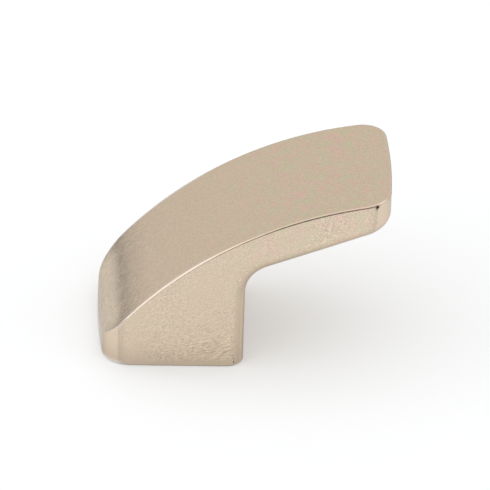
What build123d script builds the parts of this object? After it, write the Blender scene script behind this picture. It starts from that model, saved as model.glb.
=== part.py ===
"""A finger-pull cabinet knob: a squat foot that screws to the door, and an arm that sweeps out over it.

Millimetres. The origin is the mouth of the screw hole, in the middle of the foot's seat.
+Z points away from the door, +X from the foot towards the arm's tip, and Y runs across the knob.
The knob is one casting, so it is one solid.
"""
from build123d import *
import math
import os

# Overall sizes
knob_length = 38.0          # foot's outer wall to the arm's tip
knob_width = 22.0           # across the knob at its widest, half way along
tip_height = 24.8           # seat to the top of the tip

# Plan outline: four shallow bows joined by round corners
end_bow = 0.57              # how far the ends swell past their corners
side_bow = 0.32             # how far the long sides swell past theirs
plan_corner_radius = 3.8

# Crown: one long arc over the top, and the nose that turns it down into the outer wall
crown_lead = 4.1            # the arc would be level this far beyond the tip
nose_radius = 5.5
outer_wall_height = 1.2     # the wall stands upright this high before the nose begins
nose_stand_off = 0.03       # the nose turns upright this far outside the end's bow

# Arm and foot
tip_thickness = 4.35
arm_rise = 20.1             # degrees, slope of the arm's underside
foot_length = 18.85         # along the seat
throat_radius = 4.3         # where the foot's inner wall turns into the arm's underside

# Edges
crease_radius = 0.26        # the crisp edge along both sides of the crown and round the tip
grip_edge_radius = 2.25     # the softer edge that fingers meet, up the foot and under the arm
seat_edge_bevel = 0.2

# Screw hole, tapped for a 4 mm machine screw, its thread left plain
thread_core_radius = 1.65
hole_depth = 9.0            # seat to the end of the full bore
hole_lead_in = 0.4          # countersink at the mouth
drill_point_angle = 118.0   # degrees, at the hole's blind end

# Places that follow from the sizes
outer_x = -foot_length / 2
inner_x = foot_length / 2
tip_x = outer_x + knob_length
cut_margin = 2.0            # how far each cutting shape reaches past the knob

NODE = "knob_body"


def plan_outline() -> Sketch:
    """The knob seen square to the door: a rectangle with bowed sides and round corners."""
    corner_x = knob_length / 2 - end_bow
    corner_y = knob_width / 2 - side_bow
    with BuildSketch() as outline:
        with BuildLine():
            ThreePointArc((corner_x, corner_y), (0, knob_width / 2), (-corner_x, corner_y))
            ThreePointArc((-corner_x, corner_y), (-knob_length / 2, 0), (-corner_x, -corner_y))
            ThreePointArc((-corner_x, -corner_y), (0, -knob_width / 2), (corner_x, -corner_y))
            ThreePointArc((corner_x, -corner_y), (knob_length / 2, 0), (corner_x, corner_y))
        make_face()
        fillet(outline.vertices(), plan_corner_radius)
    return Pos(outer_x + knob_length / 2, 0, 0) * outline.sketch


def on_circle(centre: Vector, radius: float, angle: float) -> Vector:
    """The point of a circle at an angle, in radians from +X."""
    return centre + Vector(math.cos(angle), math.sin(angle)) * radius


def crown_arc(nose_centre: Vector) -> tuple[Vector, float]:
    """Centre and radius of the crown's arc, in the side profile.

    The arc passes through the top of the tip, is level crown_lead beyond it, and runs into the nose
    without a kink. The centre lies rise + share * radius below the top of the tip.
    """
    level_x = tip_x + crown_lead
    reach = level_x - nose_centre.X
    fall = tip_height - nose_centre.Y
    rise = (fall**2 + reach**2 - crown_lead**2 - nose_radius**2) / (2 * fall)
    share = nose_radius / fall
    rest = 1 - share**2
    radius = (rise * share + math.sqrt(rise**2 + rest * crown_lead**2)) / rest
    return Vector(level_x, tip_height - rise - share * radius), radius


def side_profile() -> Sketch:
    """The knob seen from its side, across and up: seat, nose, crown, tip and the arm's underside."""
    wall_x = outer_x - nose_stand_off
    nose_centre = Vector(wall_x + nose_radius, outer_wall_height)
    crown_centre, crown_radius = crown_arc(nose_centre)

    # The nose meets the crown on the line through both centres
    spoke = nose_centre - crown_centre
    join = math.atan2(spoke.Y, spoke.X)
    past_tip = math.acos((cut_margin - crown_lead) / crown_radius)
    nose_start = on_circle(nose_centre, nose_radius, math.pi)
    nose_middle = on_circle(nose_centre, nose_radius, (math.pi + join) / 2)
    crown_start = on_circle(crown_centre, crown_radius, join)
    crown_middle = on_circle(crown_centre, crown_radius, (join + past_tip) / 2)
    crown_end = on_circle(crown_centre, crown_radius, past_tip)

    slope = math.tan(math.radians(arm_rise))
    under_end = Vector(crown_end.X, tip_height - tip_thickness + cut_margin * slope)
    throat = Vector(inner_x, under_end.Y - (under_end.X - inner_x) * slope)
    with BuildSketch() as profile:
        with BuildLine():
            Line((wall_x, 0), nose_start)
            ThreePointArc(nose_start, nose_middle, crown_start)
            ThreePointArc(crown_start, crown_middle, crown_end)
            Polyline(crown_end, under_end, throat, (inner_x, 0), (wall_x, 0))
        make_face()
        fillet(profile.vertices().sort_by_distance(throat)[0], throat_radius)
    return profile.sketch


def screw_hole() -> Part:
    """The blind hole for the mounting screw, with its countersink and drill point."""
    point_depth = thread_core_radius / math.tan(math.radians(drill_point_angle / 2))
    with BuildSketch(Plane.XZ) as section:
        with BuildLine():
            Polyline(
                (0, 0),
                (thread_core_radius + hole_lead_in, 0),
                (thread_core_radius, hole_lead_in),
                (thread_core_radius, hole_depth),
                (0, hole_depth + point_depth),
                close=True,
            )
        make_face()
    return revolve(section.sketch, axis=Axis.Z)


def round_grip_edge(body: Part) -> Part:
    """Rounds the foot's inner corners. The edge runs on round the throat, the arm and the tip."""
    uprights = body.edges().filter_by(Axis.Z)
    return fillet(uprights.filter_by_position(Axis.X, inner_x - 0.1, inner_x + 0.1), grip_edge_radius)


def bevel_seat_edge(body: Part) -> Part:
    """Breaks the edge all round the seat."""
    seat = body.faces().sort_by(Axis.Z)[0]
    return chamfer(seat.edges(), seat_edge_bevel)


def round_crease(body: Part) -> Part:
    """Breaks the crisp edge of the crown, which fades out where the nose turns into the outer wall."""
    crown = body.faces().sort_by(SortBy.AREA)[-1]
    return fillet(crown.edges().filter_by(GeomType.LINE, reverse=True), crease_radius)


def knob_body() -> Part:
    """The casting: what the plan outline and the side profile share, with its edges and its hole."""
    column = extrude(plan_outline(), tip_height + cut_margin)
    slab = extrude(Plane.XZ * side_profile(), knob_width / 2 + cut_margin, both=True)
    body = round_crease(bevel_seat_edge(round_grip_edge(column & slab)))
    return body - screw_hole()


def main() -> None:
    """Builds the knob and writes it."""
    body = knob_body()
    body.label = NODE
    os.makedirs("parts", exist_ok=True)
    export_step(body, f"parts/{NODE}.step")
    print(NODE, round(body.volume), "mm3, centre of mass", body.center(CenterOf.MASS))


main()
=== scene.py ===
"""Looks of the cabinet knob: its satin champagne plate, a pale floor and soft studio light.

Lengths are metres in the part's own frame. The origin is the mouth of the screw hole, +Z points away
from the door, +X runs from the foot to the arm's tip, and Y runs across the knob.
"""

import logging
import math
from dataclasses import dataclass, field
from enum import Enum
from typing import Any, ClassVar, Union

import bpy
from mathutils import Matrix, Vector

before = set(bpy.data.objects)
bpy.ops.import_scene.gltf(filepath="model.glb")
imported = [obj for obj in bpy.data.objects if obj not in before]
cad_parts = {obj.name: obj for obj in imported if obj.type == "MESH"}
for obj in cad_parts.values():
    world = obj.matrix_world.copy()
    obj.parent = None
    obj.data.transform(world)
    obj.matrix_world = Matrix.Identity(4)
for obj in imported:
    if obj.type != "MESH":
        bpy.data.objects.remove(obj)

MM = 0.001
NOISE_MIDDLE = 0.5  # Blender's noise runs from 0 to 1 about this
Socket = bpy.types.NodeSocket
Term = Union[Socket, float]

log = logging.getLogger("knob")


class SocketKind(Enum):
    """The kinds of socket that the node groups show on their outside."""

    NUMBER = "NodeSocketFloat"
    VECTOR = "NodeSocketVector"


@dataclass
class NodeBench:
    """A node tree with short ways to add and join its nodes."""

    tree: bpy.types.NodeTree

    def add(self, kind: str, values: dict[Any, Any] | None = None, **settings: Any) -> bpy.types.Node:
        """Adds a node.

        Args:
            kind: Blender's name for the node's type.
            values: What each input is set to, or the socket that feeds it.
            settings: The node's own properties.

        Returns:
            The new node.
        """
        node = self.tree.nodes.new(kind)
        for name, value in settings.items():
            setattr(node, name, value)
        for name, value in (values or {}).items():
            self.feed(node.inputs[name], value)
        return node

    def feed(self, socket: Socket, value: Any) -> None:
        """Sets a socket.

        Args:
            socket: The input to set.
            value: A plain value, or the output socket to join to it.
        """
        if isinstance(value, Socket):
            self.tree.links.new(value, socket)
        else:
            socket.default_value = value

    def maths(self, operation: str, *terms: Term) -> Socket:
        """Adds a Math node.

        Args:
            operation: Blender's name for the operation.
            terms: Its inputs in order.

        Returns:
            The node's result.
        """
        node = self.add("ShaderNodeMath", operation=operation)
        for socket, term in zip(node.inputs, terms):
            self.feed(socket, term)
        return node.outputs[0]

    def product(self, first: Term, *others: Term) -> Term:
        """Multiplies several terms.

        Args:
            first: The first term.
            others: The other terms.

        Returns:
            Their product.
        """
        result = first
        for other in others:
            result = self.maths("MULTIPLY", result, other)
        return result

    def vectors(self, operation: str, *terms: Any) -> bpy.types.Node:
        """Adds a Vector Math node.

        Args:
            operation: Blender's name for the operation.
            terms: Its vectors in order.

        Returns:
            The node.
        """
        return self.add("ShaderNodeVectorMath", dict(enumerate(terms)), operation=operation)

    def scaled(self, vector: Any, scale: Term) -> Socket:
        """Adds a vector made longer or shorter."""
        node = self.add("ShaderNodeVectorMath", {0: vector, "Scale": scale}, operation="SCALE")
        return node.outputs["Vector"]

    def mixed_colour(self, share: Term, first: Any, second: Any) -> Socket:
        """Adds a mix of two colours.

        Args:
            share: How much of the second colour there is, from 0 to 1.
            first: The first colour.
            second: The second colour.

        Returns:
            The mix.
        """
        # The node keeps its two colours at inputs 6 and 7, and their mix at output 2
        values = {0: share, 6: first, 7: second}
        node = self.add("ShaderNodeMix", data_type="RGBA")
        for place, value in values.items():
            self.feed(node.inputs[place], value)
        return node.outputs[2]


@dataclass(frozen=True)
class Ramp:
    """A smooth step, from one value before its start to another past its end."""

    start: float
    end: float
    before: float = 0.0
    after: float = 1.0

    def of(self, bench: NodeBench, value: Term) -> Socket:
        """Adds the step.

        Args:
            bench: The tree that it goes in.
            value: What the step reads.

        Returns:
            The step's result.
        """
        terms = {
            "Value": value,
            "From Min": self.start,
            "From Max": self.end,
            "To Min": self.before,
            "To Max": self.after,
        }
        return bench.add("ShaderNodeMapRange", terms, interpolation_type="SMOOTHSTEP").outputs["Result"]


@dataclass(frozen=True)
class GroupSocket:
    """One socket on the outside of a node group."""

    name: str
    kind: SocketKind = SocketKind.NUMBER
    default: float | None = None


class NodeGroup:
    """A shader node group that is built once and placed in each material with its own values."""

    title: str = ""
    takes: tuple[GroupSocket, ...] = ()
    gives: tuple[GroupSocket, ...] = ()

    def tree(self) -> bpy.types.NodeTree:
        """Builds the group's tree on the first call.

        Returns:
            The tree.
        """
        found = bpy.data.node_groups.get(self.title)
        if found:
            return found
        made = bpy.data.node_groups.new(self.title, "ShaderNodeTree")
        for in_out, sockets in (("INPUT", self.takes), ("OUTPUT", self.gives)):
            for item in sockets:
                socket = made.interface.new_socket(item.name, in_out=in_out, socket_type=item.kind.value)
                if item.default is not None:
                    socket.default_value = item.default
        bench = NodeBench(made)
        inside = bench.add("NodeGroupInput")
        outside = bench.add("NodeGroupOutput")
        self.wire(bench, inside.outputs, outside.inputs)
        return made

    def wire(self, bench: NodeBench, takes: Any, gives: Any) -> None:
        """Adds the group's inner nodes.

        Args:
            bench: The group's tree.
            takes: The sockets that bring the group's inputs in.
            gives: The sockets that take its outputs out.
        """
        raise NotImplementedError

    def place(self, bench: NodeBench, values: dict[str, Any]) -> bpy.types.Node:
        """Places the group in a material.

        Args:
            bench: The material's tree.
            values: What each named input is set to, or the socket that feeds it.

        Returns:
            The group's node.
        """
        return bench.add("ShaderNodeGroup", values, node_tree=self.tree())


class PebbleGrain(NodeGroup):
    """Fine rounded grain, as left by tumbling or as in a paper's tooth."""

    title = "Pebble grain"
    takes = (
        GroupSocket("Place", SocketKind.VECTOR),
        GroupSocket("Grains per metre", default=3000.0),
        GroupSocket("Patches per metre", default=300.0),
        GroupSocket("Patchiness", default=0.5),
    )
    gives = (GroupSocket("Height"),)
    grain_detail: float = 1.0
    patch_detail: float = 2.0
    fall_off: float = 0.5

    def wire(self, bench: NodeBench, takes: Any, gives: Any) -> None:
        """Adds fine noise whose strength comes and goes in broad soft patches.

        Args:
            bench: The group's tree.
            takes: The sockets that bring the group's inputs in.
            gives: The socket that takes the height out.
        """
        grain = self.noise(bench, takes["Place"], takes["Grains per metre"], self.grain_detail)
        patch = self.noise(bench, takes["Place"], takes["Patches per metre"], self.patch_detail)
        strength = bench.maths("MULTIPLY_ADD", patch, takes["Patchiness"], 1.0)
        bench.feed(gives["Height"], bench.product(grain, strength))

    def noise(self, bench: NodeBench, place: Socket, per_metre: Socket, detail: float) -> Socket:
        """Adds one layer of noise.

        Args:
            bench: The group's tree.
            place: The place on the piece.
            per_metre: How close the noise lies.
            detail: How many finer layers it has.

        Returns:
            The noise, about 0.
        """
        values = {"Vector": place, "Scale": per_metre, "Detail": detail, "Roughness": self.fall_off}
        noise = bench.add("ShaderNodeTexNoise", values)
        return bench.maths("SUBTRACT", noise.outputs["Fac"], NOISE_MIDDLE)


@dataclass(frozen=True)
class Reading:
    """What the plate's nodes read at each point of the knob.

    place, x, y and z are where the point lies. rise is how far its surface faces up, from -1 to 1, and
    across is how squarely it faces a side, from 0 to 1. turn is how many degrees it has turned from that
    side, below 0 towards the foot's outer end. upright is 1 on upright walls.
    """

    leaning: ClassVar[Ramp] = Ramp(0.3, 0.5, 1.0, 0.0)

    place: Socket
    x: Socket
    y: Socket
    z: Socket
    rise: Socket
    across: Socket
    turn: Socket
    upright: Socket

    @classmethod
    def made_in(cls, bench: NodeBench) -> "Reading":
        """Adds the nodes that read the surface.

        Args:
            bench: The material's tree.

        Returns:
            Their outputs.
        """
        where = bench.add("ShaderNodeTexCoord").outputs
        spot = bench.add("ShaderNodeSeparateXYZ", {"Vector": where["Object"]}).outputs
        facing = bench.add("ShaderNodeSeparateXYZ", {"Vector": where["Normal"]}).outputs
        across = bench.maths("ABSOLUTE", facing["Y"])
        turn = bench.maths("DEGREES", bench.maths("ARCTAN2", facing["X"], across))
        upright = cls.leaning.of(bench, bench.maths("ABSOLUTE", facing["Z"]))
        return cls(where["Object"], spot["X"], spot["Y"], spot["Z"], facing["Z"], across, turn, upright)


def openness(bench: NodeBench, reach: Term, samples: int = 8) -> Socket:
    """Adds a measure of how open the metal is just under the surface.

    Args:
        bench: The material's tree.
        reach: How far inside the metal it looks.
        samples: How many ways it looks.

    Returns:
        1 away from edges and less near them, where two faces lie close together.
    """
    look = bench.add(
        "ShaderNodeAmbientOcclusion", {"Distance": reach}, inside=True, only_local=True, samples=samples
    )
    return look.outputs["AO"]


@dataclass(frozen=True)
class Grain:
    """One layer of fine marks: how close they lie, how they gather, and which way they are drawn out."""

    per_metre: float
    patches_per_metre: float
    patchiness: float
    depth: float
    turn: float = 0.0
    stretch: float = 1.0

    def relief(self, bench: NodeBench, place: Socket) -> Term:
        """Adds the layer.

        Args:
            bench: The material's tree.
            place: The place on the knob.

        Returns:
            The layer's relief, about 0.
        """
        if self.stretch != 1.0:
            slant = (0.0, -math.radians(self.turn), 0.0)
            values = {"Vector": place, "Rotation": slant, "Scale": (self.stretch, 1.0, 1.0)}
            place = bench.add("ShaderNodeMapping", values, vector_type="TEXTURE").outputs["Vector"]
        marks = PebbleGrain().place(
            bench,
            {
                "Place": place,
                "Grains per metre": self.per_metre,
                "Patches per metre": self.patches_per_metre,
                "Patchiness": self.patchiness,
            },
        )
        return bench.product(marks.outputs["Height"], self.depth)


@dataclass(frozen=True)
class SideMarks:
    """Pebbles and slanting strokes on the flat sides, worn by the nose and coarser towards the tip."""

    pebbles: Grain = Grain(per_metre=6200.0, patches_per_metre=350.0, patchiness=1.5, depth=0.70)
    strokes: Grain = Grain(
        per_metre=7600.0, patches_per_metre=600.0, patchiness=1.4, depth=1.05, turn=25.0, stretch=5.0
    )
    on_side: Ramp = Ramp(0.80, 0.92)
    clear_of_seat: Ramp = Ramp(0.4 * MM, 1.4 * MM)
    strokes_low_down: Ramp = Ramp(1.5 * MM, 11.0 * MM, 1.0, 0.15)
    strokes_inward: Ramp = Ramp(-5.0 * MM, 6.0 * MM, 0.3, 1.0)
    worn_by_nose: Ramp = Ramp(-9.0 * MM, 0.0, 0.4, 1.0)
    coarse_by_tip: Ramp = Ramp(8.0 * MM, 22.0 * MM, 1.0, 1.45)

    def relief(self, bench: NodeBench, here: Reading) -> Term:
        """Adds the sides' marks.

        Args:
            bench: The material's tree.
            here: What the nodes read at each point.

        Returns:
            Their relief, about 0.
        """
        strokes = bench.product(
            self.strokes.relief(bench, here.place),
            self.strokes_low_down.of(bench, here.z),
            self.strokes_inward.of(bench, here.x),
        )
        coarse = bench.product(self.worn_by_nose.of(bench, here.x), self.coarse_by_tip.of(bench, here.x))
        marks = bench.maths("MULTIPLY_ADD", self.pebbles.relief(bench, here.place), coarse, strokes)
        return bench.product(
            marks, self.on_side.of(bench, here.across), self.clear_of_seat.of(bench, here.z)
        )


@dataclass(frozen=True)
class CrownMarks:
    """Soft grain on the crown, hatching on the nose, and broad scuffs where the nose rolls over."""

    grain: Grain = Grain(per_metre=3000.0, patches_per_metre=300.0, patchiness=1.0, depth=0.26)
    hatch: Grain = Grain(
        per_metre=4000.0, patches_per_metre=500.0, patchiness=2.0, depth=0.56, turn=50.0, stretch=3.0
    )
    scuffs: Grain = Grain(per_metre=1300.0, patches_per_metre=300.0, patchiness=1.0, depth=0.30)
    off_side: Ramp = Ramp(0.3, 0.6, 1.0, 0.0)
    hatch_on_nose: Ramp = Ramp(-6.0 * MM, 2.0 * MM, 1.0, 0.0)
    scuffs_on_roll: Ramp = Ramp(-7.5 * MM, -6.0 * MM, 1.0, 0.0)
    worn_by_seat: Ramp = Ramp(0.5 * MM, 4.0 * MM, 0.3, 1.0)

    def relief(self, bench: NodeBench, here: Reading) -> Term:
        """Adds the crown's marks.

        Args:
            bench: The material's tree.
            here: What the nodes read at each point.

        Returns:
            Their relief, about 0.
        """
        marks = self.grain.relief(bench, here.place)
        for layer, where in ((self.hatch, self.hatch_on_nose), (self.scuffs, self.scuffs_on_roll)):
            share = where.of(bench, here.x)
            marks = bench.maths("MULTIPLY_ADD", layer.relief(bench, here.place), share, marks)
        return bench.product(
            marks, self.worn_by_seat.of(bench, here.z), self.off_side.of(bench, here.across)
        )


@dataclass(frozen=True)
class ScrewThread:
    """The right-hand thread cut in the wall of the screw hole, as relief on the plain bore."""

    core_radius: float = 1.65 * MM
    slack: float = 0.06 * MM
    pitch: float = 0.7 * MM
    depth: float = 0.36 * MM
    first: float = 0.4 * MM
    last: float = 8.6 * MM
    run_out: float = 0.4 * MM

    def relief(self, bench: NodeBench, here: Reading) -> Term:
        """Adds the thread's turns.

        Args:
            bench: The material's tree.
            here: What the nodes read at each point.

        Returns:
            The thread's height in metres, 0 away from the hole.
        """
        square = bench.maths("ADD", *(bench.product(side, side) for side in (here.x, here.y)))
        hole = Ramp(self.core_radius + self.slack, self.core_radius + 2 * self.slack, 1.0, 0.0)
        begun = Ramp(self.first, self.first + self.run_out)
        over = Ramp(self.last - self.run_out, self.last, 1.0, 0.0)
        back = bench.maths("DIVIDE", bench.maths("ARCTAN2", here.y, here.x), -2 * math.pi)
        turns = bench.maths("MULTIPLY_ADD", here.z, 1 / self.pitch, back)
        return bench.product(
            bench.maths("PINGPONG", turns, 0.5),
            2 * self.depth,
            hole.of(bench, bench.maths("SQRT", square)),
            begun.of(bench, here.z),
            over.of(bench, here.z),
        )


@dataclass(frozen=True)
class ReflectionBand:
    """An upright band of painted reflection on a round corner, from one turn of its surface to another.

    Turns are in degrees, below 0 towards the foot's outer end and above 0 towards the tip. The band lies
    between two heights, and change is how much lighter it is than the side, below 0 for painted shade.
    """

    first: float
    last: float
    change: float
    low: float = -1.0 * MM
    high: float = 30.0 * MM
    first_blur: float = 1.0
    last_blur: float = 1.0
    height_blur: float = 1.0 * MM

    def tone(self, bench: NodeBench, here: Reading) -> Socket:
        """Adds the band.

        Args:
            bench: The material's tree.
            here: What the nodes read at each point.

        Returns:
            A tone, 1 away from the band.
        """
        band = bench.product(
            Ramp(self.first - self.first_blur, self.first + self.first_blur).of(bench, here.turn),
            Ramp(self.last - self.last_blur, self.last + self.last_blur, 1.0, 0.0).of(bench, here.turn),
            Ramp(self.low, self.low + self.height_blur).of(bench, here.z),
            Ramp(self.high - self.height_blur, self.high, 1.0, 0.0).of(bench, here.z),
            here.upright,
        )
        return bench.maths("MULTIPLY_ADD", band, self.change, 1.0)


@dataclass(frozen=True)
class DarkSpot:
    """A small dark spot on the plate: its middle, its reach along X, Y and Z, and how dark it is."""

    middle: tuple[float, float, float]
    reach: tuple[float, float, float]
    depth: float
    core: float = 0.2

    def tone(self, bench: NodeBench, here: Reading) -> Socket:
        """Adds the spot.

        Args:
            bench: The material's tree.
            here: What the nodes read at each point.

        Returns:
            A tone, 1 away from the spot.
        """
        apart = bench.vectors("SUBTRACT", here.place, self.middle).outputs["Vector"]
        scaled = bench.vectors("DIVIDE", apart, self.reach).outputs["Vector"]
        away = bench.vectors("LENGTH", scaled).outputs["Value"]
        return Ramp(self.core, 1.0, 1.0 - self.depth, 1.0).of(bench, away)


@dataclass(frozen=True)
class PaintedRollShade:
    """Painted shade where the nose rolls into the crisp edge's faded end: a thin dark line in a wider soft
    shade.

    reach is how far inside the metal it looks for the wider shade. The line is found with the edge
    highlight's.
    """

    reach: float = 3.2 * MM
    line: Ramp = Ramp(0.70, 0.95, 0.25, 0.0)
    wide_shade: Ramp = Ramp(0.76, 0.98, 0.19, 0.0)
    rolling: Ramp = Ramp(0.1, 0.3)
    begun: Ramp = Ramp(-9.3 * MM, -8.7 * MM)
    over: Ramp = Ramp(-7.0 * MM, -6.0 * MM, 1.0, 0.0)

    def tone(self, bench: NodeBench, here: Reading, near_edge: Socket) -> Socket:
        """Adds the shade.

        Args:
            bench: The material's tree.
            here: What the nodes read at each point.
            near_edge: How open the metal is close under the surface.

        Returns:
            A tone, 1 away from the shade.
        """
        depth = bench.maths(
            "ADD", self.line.of(bench, near_edge), self.wide_shade.of(bench, openness(bench, self.reach))
        )
        shade = bench.product(
            depth,
            self.begun.of(bench, here.x),
            self.over.of(bench, here.x),
            self.rolling.of(bench, here.rise),
        )
        return bench.maths("SUBTRACT", 1.0, shade)


@dataclass(frozen=True)
class PaintedDarkLine:
    """A painted dark reflection in a thin line along the arm, just under the crisp edge."""

    depth: float = 0.52
    under_edge: Ramp = Ramp(0.66, 0.80)
    off_side: Ramp = Ramp(0.93, 0.985, 1.0, 0.0)
    rising: Ramp = Ramp(0.12, 0.25)
    begun: Ramp = Ramp(10.0 * MM, 15.0 * MM)
    over: Ramp = Ramp(26.2 * MM, 27.0 * MM, 1.0, 0.0)

    def tone(self, bench: NodeBench, here: Reading) -> Socket:
        """Adds the painted dark line.

        Args:
            bench: The material's tree.
            here: What the nodes read at each point.

        Returns:
            A tone, 1 away from the line.
        """
        line = bench.product(
            self.under_edge.of(bench, here.across),
            self.off_side.of(bench, here.across),
            self.rising.of(bench, here.rise),
            self.begun.of(bench, here.x),
            self.over.of(bench, here.x),
        )
        return bench.maths("MULTIPLY_ADD", line, -self.depth, 1.0)


@dataclass(frozen=True)
class EdgeHighlight:
    """The painted highlight along the crisp edge: full by the foot, faint along the arm, strong at the tip.

    reach is how far inside the metal it looks for the edge, and so how wide the line is.
    """

    # the painted highlight's colour
    colour: tuple[float, float, float, float] = (0.91, 0.865, 0.87, 1.0)
    reach: Ramp = Ramp(3.0 * MM, 7.5 * MM, 1.2 * MM, 0.5 * MM)
    edge: Ramp = Ramp(0.45, 0.85, 1.0, 0.0)
    off_side: Ramp = Ramp(0.90, 0.99, 1.0, 0.0)
    share: Ramp = Ramp(3.0 * MM, 7.5 * MM, 1.0, 0.32)
    more_at_tip: Ramp = Ramp(26.6 * MM, 27.2 * MM, 0.0, 0.48)

    def mask(self, bench: NodeBench, here: Reading, near_edge: Socket) -> Term:
        """Adds the line's mask.

        Args:
            bench: The material's tree.
            here: What the nodes read at each point.
            near_edge: How open the metal is close under the surface.

        Returns:
            How much of the painted highlight's colour there is, from 0 to 1.
        """
        share = bench.maths("ADD", self.share.of(bench, here.x), self.more_at_tip.of(bench, here.x))
        return bench.product(
            self.edge.of(bench, near_edge), self.off_side.of(bench, here.across), share
        )


@dataclass(frozen=True)
class Blush:
    """Faint rosy and greenish patches in the plate, which gather towards the tip."""

    per_metre: float = 700.0
    detail: float = 2.0
    tint: tuple[float, float, float] = (0.36, -0.28, 0.14)
    by_tip: Ramp = Ramp(2.0 * MM, 20.0 * MM, 0.2, 1.0)
    at_tip: Ramp = Ramp(24.0 * MM, 27.0 * MM, 1.0, 0.5)
    on_side: Ramp = Ramp(0.3, 0.6, 1.0, 0.65)

    def shift(self, bench: NodeBench, here: Reading) -> Socket:
        """Adds the patches.

        Args:
            bench: The material's tree.
            here: What the nodes read at each point.

        Returns:
            What they add to the plate's tone, in red, green and blue.
        """
        values = {"Vector": here.place, "Scale": self.per_metre, "Detail": self.detail}
        patch = bench.add("ShaderNodeTexNoise", values).outputs["Fac"]
        amount = bench.product(
            bench.maths("SUBTRACT", patch, NOISE_MIDDLE),
            self.by_tip.of(bench, here.x),
            self.at_tip.of(bench, here.x),
            self.on_side.of(bench, here.across),
        )
        return bench.scaled(self.tint, amount)


def blank_material(name: str) -> bpy.types.Material:
    """Makes a material with an empty tree.

    Args:
        name: The material's name.

    Returns:
        The new material.
    """
    made = bpy.data.materials.new(name)
    made.use_nodes = True
    made.node_tree.nodes.clear()
    return made


@dataclass(frozen=True)
class SatinPlate:
    """Champagne nickel plate, pebbled by tumbling, with painted highlights and painted shade."""

    name: str = "satin_plate"
    colour: tuple[float, float, float] = (0.668, 0.550, 0.424)
    grazing_tint: tuple[float, float, float, float] = (0.74, 0.73, 0.72, 1.0)
    roughness: float = 0.12
    roughness_by_relief: float = 0.3
    relief_height: float = 0.012 * MM

    side: SideMarks = SideMarks()
    crown: CrownMarks = CrownMarks()
    thread: ScrewThread = ScrewThread()
    blush: Blush = Blush()
    edge_highlight: EdgeHighlight = EdgeHighlight()
    # painted shade where the nose rolls into the crisp edge
    roll_shade: PaintedRollShade = PaintedRollShade()
    # painted dark reflection line under the arm's crisp edge
    dark_line: PaintedDarkLine = PaintedDarkLine()
    # painted shade: the plate is darker towards the seat
    painted_shade_by_seat: Ramp = Ramp(0.0, 4.0 * MM, 0.88, 1.0)
    # painted reflection bands on the round corners: lighter ones are painted highlight, darker ones painted
    # shade
    painted_reflection_bands: tuple[ReflectionBand, ...] = (
        ReflectionBand(first=-180.0, last=-28.0, change=0.045),
        ReflectionBand(first=-28.0, last=-16.0, change=-0.13, last_blur=9.0),
        ReflectionBand(first=1.5, last=14.0, change=0.035, low=16.0 * MM, last_blur=6.0),
        ReflectionBand(first=20.0, last=28.0, change=-0.075, low=16.0 * MM, first_blur=7.0),
        ReflectionBand(first=30.0, last=180.0, change=0.090, low=16.0 * MM),
        ReflectionBand(first=23.0, last=48.0, change=-0.065, high=12.5 * MM),
        ReflectionBand(first=50.0, last=62.0, change=0.110, high=12.5 * MM),
    )
    dark_spots: tuple[DarkSpot, ...] = (
        DarkSpot((26.30 * MM, -10.28 * MM, 24.17 * MM), reach=(0.48 * MM, 0.38 * MM, 0.38 * MM), depth=0.97),
        DarkSpot((26.24 * MM, -10.30 * MM, 23.95 * MM), reach=(0.24 * MM, 0.24 * MM, 0.70 * MM), depth=0.45),
        DarkSpot((8.09 * MM, -10.80 * MM, 0.62 * MM), reach=(0.16 * MM, 0.16 * MM, 0.18 * MM), depth=0.85),
        DarkSpot((8.09 * MM, -10.80 * MM, 1.10 * MM), reach=(0.12 * MM, 0.12 * MM, 0.90 * MM), depth=0.15),
    )

    def material(self) -> bpy.types.Material:
        """Builds the plate's material.

        Returns:
            The material.
        """
        made = blank_material(self.name)
        bench = NodeBench(made.node_tree)
        here = Reading.made_in(bench)
        near_edge = openness(bench, self.edge_highlight.reach.of(bench, here.x))
        relief = bench.maths("ADD", self.side.relief(bench, here), self.crown.relief(bench, here))
        tone = self.tone(bench, here, relief, near_edge)
        height = bench.maths("MULTIPLY_ADD", relief, self.relief_height, self.thread.relief(bench, here))
        bump = bench.add("ShaderNodeBump", {"Height": height, "Distance": 1.0, "Strength": 1.0})
        shader = bench.add(
            "ShaderNodeBsdfPrincipled",
            {
                "Base Color": self.colouring(bench, here, tone, near_edge),
                "Metallic": 1.0,
                "Roughness": bench.maths("MULTIPLY_ADD", relief, self.roughness_by_relief, self.roughness),
                "Specular Tint": self.grazing_tint,
                "Normal": bump.outputs["Normal"],
            },
        )
        bench.add("ShaderNodeOutputMaterial", {"Surface": shader.outputs["BSDF"]})
        return made

    def tone(self, bench: NodeBench, here: Reading, relief: Term, near_edge: Socket) -> Term:
        """Adds how light the plate is: its grain and dark spots, with painted shade and painted reflection
        bands.

        Args:
            bench: The material's tree.
            here: What the nodes read at each point.
            relief: The plate's fine relief, about 0.
            near_edge: How open the metal is close under the surface.

        Returns:
            The tone, about 1.
        """
        return bench.product(
            bench.maths("ADD", relief, 1.0),
            self.painted_shade_by_seat.of(bench, here.z),
            self.roll_shade.tone(bench, here, near_edge),
            self.dark_line.tone(bench, here),
            *(mark.tone(bench, here) for mark in self.painted_reflection_bands + self.dark_spots),
        )

    def colouring(self, bench: NodeBench, here: Reading, tone: Term, near_edge: Socket) -> Socket:
        """Adds the plate's colour, with its patches and its painted edge highlight.

        Args:
            bench: The material's tree.
            here: What the nodes read at each point.
            tone: How light the plate is.
            near_edge: How open the metal is close under the surface.

        Returns:
            The colour.
        """
        shade = bench.vectors("ADD", self.blush.shift(bench, here), tone).outputs["Vector"]
        plain = bench.vectors("MULTIPLY", shade, self.colour).outputs["Vector"]
        # mixes the painted edge highlight into the plate's colour
        return bench.mixed_colour(self.edge_highlight.mask(bench, here, near_edge), plain, self.edge_highlight.colour)


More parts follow.
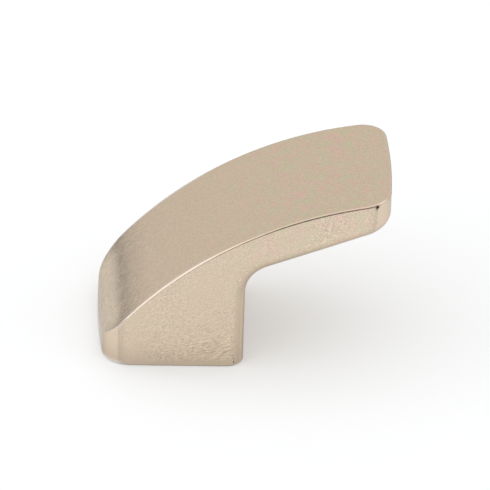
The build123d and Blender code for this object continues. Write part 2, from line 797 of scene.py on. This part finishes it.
@dataclass(frozen=True)
class GlowingTable:
    """A white light table. In reflections it dims with distance, and brightens at the foot of the wall."""

    name: str = "light_table"
    white: tuple[float, float, float] = (0.975, 1.0, 1.03)
    albedo: float = 0.82
    glow: float = 0.17
    roughness: float = 0.9
    gloss: float = 0.1
    dimming: Ramp = Ramp(0.035, 0.150, 1.0, 0.85)
    edge: Ramp = Ramp(0.100, 0.122, 1.0, 0.52)
    wall_foot: Ramp = Ramp(0.170, 0.340, 1.0, 1.55)
    tooth_per_metre: float = 900.0
    tooth_height: float = 0.01 * MM

    def material(self) -> bpy.types.Material:
        """Builds the table's material.

        Returns:
            The material.
        """
        made = blank_material(self.name)
        bench = NodeBench(made.node_tree)
        place = bench.add("ShaderNodeTexCoord").outputs["Object"]
        lit = self.lighting(bench, place)
        albedo, glow = (
            bench.scaled([share * level for share in self.white], lit) for level in (self.albedo, self.glow)
        )
        tooth = PebbleGrain().place(bench, {"Place": place, "Grains per metre": self.tooth_per_metre})
        relief = {"Height": tooth.outputs["Height"], "Distance": self.tooth_height}
        bump = bench.add("ShaderNodeBump", relief)
        shader = bench.add(
            "ShaderNodeBsdfPrincipled",
            {
                "Base Color": albedo,
                "Roughness": self.roughness,
                "Specular IOR Level": self.gloss,
                "Emission Color": glow,
                "Emission Strength": 1.0,
                "Normal": bump.outputs["Normal"],
            },
        )
        bench.add("ShaderNodeOutputMaterial", {"Surface": shader.outputs["BSDF"]})
        return made

    def lighting(self, bench: NodeBench, place: Socket) -> Socket:
        """Adds how bright the table is.

        Args:
            bench: The material's tree.
            place: The place on the table.

        Returns:
            The brightness, 1 everywhere except in reflections.
        """
        away = bench.vectors("LENGTH", place).outputs["Value"]
        steps = (self.dimming, self.edge, self.wall_foot)
        mirrored = bench.product(*(step.of(bench, away) for step in steps))
        in_gloss = bench.add("ShaderNodeLightPath").outputs["Is Glossy Ray"]
        return bench.maths("MULTIPLY_ADD", in_gloss, bench.maths("SUBTRACT", mirrored, 1.0), 1.0)


@dataclass
class Knob:
    """The knob's one casting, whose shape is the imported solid's."""

    node: str = "knob_body"
    finish: SatinPlate = field(default_factory=SatinPlate)

    def dress(self) -> bpy.types.Object:
        """Gives the casting its plate.

        Returns:
            The casting.
        """
        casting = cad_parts[self.node]
        for slot in casting.material_slots:
            slot.material = self.finish.material()
        return casting


@dataclass
class Floor:
    """A flat round table under the knob."""

    radius: float = 1.5
    rim_points: int = 96
    finish: GlowingTable = field(default_factory=GlowingTable)

    def build(self) -> bpy.types.Object:
        """Builds the floor.

        Returns:
            The floor.
        """
        turns = [2 * math.pi * i / self.rim_points for i in range(self.rim_points)]
        rim = [(self.radius * math.cos(turn), self.radius * math.sin(turn), 0.0) for turn in turns]
        mesh = bpy.data.meshes.new("paper")
        mesh.from_pydata(rim, [], [list(range(self.rim_points))])
        mesh.materials.append(self.finish.material())
        paper = bpy.data.objects.new("paper", mesh)
        bpy.context.scene.collection.objects.link(paper)
        return paper


def direction(azimuth: float, elevation: float) -> Vector:
    """Finds the way from the knob to something round it.

    Args:
        azimuth: Degrees anticlockwise, seen from above, from the knob's front, which faces -Y.
        elevation: Degrees above the floor.

    Returns:
        A vector of length 1.
    """
    around, above = math.radians(azimuth), math.radians(elevation)
    level = math.cos(above)
    return Vector((math.sin(around) * level, -math.cos(around) * level, math.sin(above)))


def rise_step(elevation: float, blur: float, before: float = 0.0, after: float = 1.0) -> Ramp:
    """Finds the soft step at an elevation, for a direction's height from -1 to 1.

    Args:
        elevation: Degrees at the step's middle.
        blur: Degrees from its middle to either end.
        before: The result below the step.
        after: The result above it.

    Returns:
        The step.
    """
    start, end = (math.sin(math.radians(elevation + side * blur)) for side in (-1, 1))
    return Ramp(start, end, before, after)


@dataclass(frozen=True)
class Panel:
    """A soft window of light, or of dark, in the studio's walls, as seen from the knob.

    It lies between two elevations and reaches spread degrees to each side of its azimuth. Left out, they
    take it up to straight overhead and all the way round.
    """

    glow: float
    low: float
    blur: float
    high: float | None = None
    azimuth: float = 0.0
    spread: float | None = None

    def mask(self, bench: NodeBench, parts: Any) -> Term:
        """Adds the panel's mask.

        Args:
            bench: The world's tree.
            parts: The looked-at direction's X, Y and Z.

        Returns:
            1 inside the panel and 0 well outside it.
        """
        mask = rise_step(self.low, self.blur).of(bench, parts["Z"])
        if self.high is not None:
            above = rise_step(self.high, self.blur).of(bench, parts["Z"])
            mask = bench.maths("SUBTRACT", mask, above)
        if self.spread is not None:
            level = direction(self.azimuth, 0.0)
            rise_squared = bench.product(parts["Z"], parts["Z"])
            across = bench.maths("SQRT", bench.maths("SUBTRACT", 1.0, rise_squared))
            along = bench.maths("MULTIPLY_ADD", parts["X"], level.x, bench.product(parts["Y"], level.y))
            facing = bench.maths("DIVIDE", along, across)
            start, end = (math.cos(math.radians(self.spread + side * self.blur)) for side in (1, -1))
            mask = bench.product(mask, Ramp(start, end).of(bench, facing))
        return mask


@dataclass
class Studio:
    """The lit walls round the knob: even behind it, brighter at its sides, dim behind the camera."""

    panels: tuple[Panel, ...] = (
        Panel(glow=1.08, low=52.0, blur=8.0),
        Panel(glow=1.45, low=8.0, high=50.0, blur=6.0, azimuth=-78.0, spread=42.0),
        Panel(glow=1.30, low=2.0, high=46.0, blur=6.0, azimuth=72.0, spread=28.0),
        Panel(glow=0.30, low=-4.0, high=24.0, blur=5.0, azimuth=6.0, spread=26.0),
    )
    wall: Ramp = rise_step(1.0, 2.0, before=0.70, after=0.86)
    wall_colour: tuple[float, float, float, float] = (1.02, 1.0, 0.97, 1.0)

    def build(self) -> None:
        """Paints the walls, dimmer in the gap between them and the table."""
        world = bpy.data.worlds.new("studio")
        world.use_nodes = True
        world.node_tree.nodes.clear()
        bench = NodeBench(world.node_tree)
        way = bench.add("ShaderNodeTexCoord").outputs["Generated"]
        parts = bench.add("ShaderNodeSeparateXYZ", {"Vector": way}).outputs
        glow = self.wall.of(bench, parts["Z"])
        for panel in self.panels:
            terms = {"Factor": panel.mask(bench, parts), "A": glow, "B": panel.glow}
            glow = bench.add("ShaderNodeMix", terms).outputs["Result"]
        shader = bench.add("ShaderNodeBackground", {"Color": self.wall_colour, "Strength": glow})
        bench.add("ShaderNodeOutputWorld", {"Surface": shader.outputs["Background"]})
        bpy.context.scene.world = world


@dataclass(frozen=True)
class PhotoCamera:
    """A long lens at the photograph's viewing angle."""

    aim: tuple[float, float, float] = (10.00 * MM, 5.33 * MM, 8.90 * MM)
    azimuth: float = -3.25
    elevation: float = 31.0
    roll: float = 1.95
    distance: float = 1.9423
    sensor: float = 36.0
    frame_pixels: int = 490
    pixels_per_mm: float = 7.5607
    far_clip_ratio: float = 3.0

    def build(self) -> bpy.types.Object:
        """Builds the camera and makes it the scene's.

        Returns:
            The camera.
        """
        lens = bpy.data.cameras.new("photo_camera")
        lens.sensor_width = self.sensor
        lens.lens = self.sensor * self.distance / (self.frame_pixels / self.pixels_per_mm * MM)
        lens.clip_end = self.distance * self.far_clip_ratio
        camera = bpy.data.objects.new("photo_camera", lens)
        back = direction(self.azimuth, self.elevation)
        level = direction(self.azimuth + 90, 0.0)
        upright = Matrix((level, back.cross(level), back)).transposed()
        turned = Matrix.Rotation(math.radians(self.roll), 3, back) @ upright
        place = Vector(self.aim) + back * self.distance
        camera.matrix_world = Matrix.Translation(place) @ turned.to_4x4()
        bpy.context.scene.collection.objects.link(camera)
        bpy.context.scene.camera = camera
        return camera


def main() -> None:
    """Builds the picture in order and reports each piece."""
    logging.basicConfig(level=logging.INFO, format="%(name)s: %(message)s")
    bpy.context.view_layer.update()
    bpy.context.scene.view_settings.view_transform = "Standard"

    camera = PhotoCamera().build()
    log.info("%s: lens %.0f mm", camera.name, camera.data.lens)
    casting = Knob().dress()
    log.info("%s: %s", casting.name, casting.material_slots[0].material.name)
    paper = Floor().build()
    log.info("%s: %d rim points", paper.name, len(paper.data.vertices))
    studio = Studio()
    studio.build()
    log.info("studio: %d panels", len(studio.panels))


if __name__ == "__main__":
    main()
